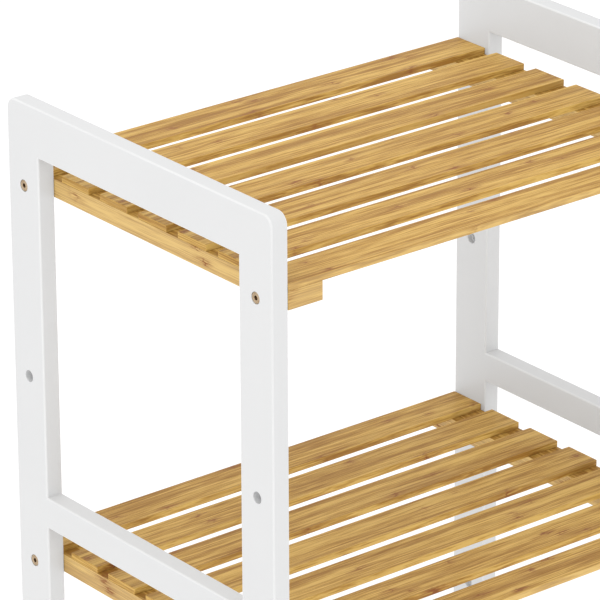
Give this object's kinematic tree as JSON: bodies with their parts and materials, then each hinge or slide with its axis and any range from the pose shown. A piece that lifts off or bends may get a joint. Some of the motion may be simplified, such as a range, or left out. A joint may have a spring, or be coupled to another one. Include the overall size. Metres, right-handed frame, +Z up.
{
  "type": "entryway bench",
  "caption": "Small two-tier bench: painted ladder side frames carry a slatted bamboo seat and a slatted shelf below, bolted through the legs.",
  "frame": {"origin": "on the floor, under the middle of the bench", "axes": "+Z up, +X along the slats from the left frame to the right frame, -Y the front"},
  "size_m": [0.466, 0.325, 0.58],
  "materials": {
    "white_paint": "satin white paint on wood board",
    "bamboo": "clear satin lacquer on laminated bamboo",
    "beech_dowel": "bare beech",
    "bronzed_steel": "bronzed steel, satin",
    "zinc_steel": "zinc plated steel"
  },
  "bodies": {
    "root": {"left_front_leg": "white_paint", "left_rear_leg": "white_paint", "left_top_rail": "white_paint", "left_lower_rail": "white_paint", "left_top_front_dowel_1": "beech_dowel", "left_top_front_dowel_2": "beech_dowel", "left_top_rear_dowel_1": "beech_dowel", "left_top_rear_dowel_2": "beech_dowel", "left_lower_front_dowel_1": "beech_dowel", "left_lower_front_dowel_2": "beech_dowel", "left_lower_rear_dowel_1": "beech_dowel", "left_lower_rear_dowel_2": "beech_dowel", "right_front_leg": "white_paint", "right_rear_leg": "white_paint", "right_top_rail": "white_paint", "right_lower_rail": "white_paint", "right_top_front_dowel_1": "beech_dowel", "right_top_front_dowel_2": "beech_dowel", "right_top_rear_dowel_1": "beech_dowel", "right_top_rear_dowel_2": "beech_dowel", "right_lower_front_dowel_1": "beech_dowel", "right_lower_front_dowel_2": "beech_dowel", "right_lower_rear_dowel_1": "beech_dowel", "right_lower_rear_dowel_2": "beech_dowel", "seat_slat_1": "bamboo", "seat_slat_2": "bamboo", "seat_slat_3": "bamboo", "seat_slat_4": "bamboo", "seat_slat_5": "bamboo", "seat_slat_6": "bamboo", "seat_slat_7": "bamboo", "seat_left_bearer": "bamboo", "seat_right_bearer": "bamboo", "seat_left_front_bolt": "bronzed_steel", "seat_left_front_insert": "zinc_steel", "seat_left_rear_bolt": "bronzed_steel", "seat_left_rear_insert": "zinc_steel", "seat_right_front_bolt": "bronzed_steel", "seat_right_front_insert": "zinc_steel", "seat_right_rear_bolt": "bronzed_steel", "seat_right_rear_insert": "zinc_steel", "shelf_slat_1": "bamboo", "shelf_slat_2": "bamboo", "shelf_slat_3": "bamboo", "shelf_slat_4": "bamboo", "shelf_slat_5": "bamboo", "shelf_slat_6": "bamboo", "shelf_slat_7": "bamboo", "shelf_left_bearer": "bamboo", "shelf_right_bearer": "bamboo", "shelf_left_front_bolt": "bronzed_steel", "shelf_left_front_insert": "zinc_steel", "shelf_left_rear_bolt": "bronzed_steel", "shelf_left_rear_insert": "zinc_steel", "shelf_right_front_bolt": "bronzed_steel", "shelf_right_front_insert": "zinc_steel", "shelf_right_rear_bolt": "bronzed_steel", "shelf_right_rear_insert": "zinc_steel"}
  },
  "joints": []
}
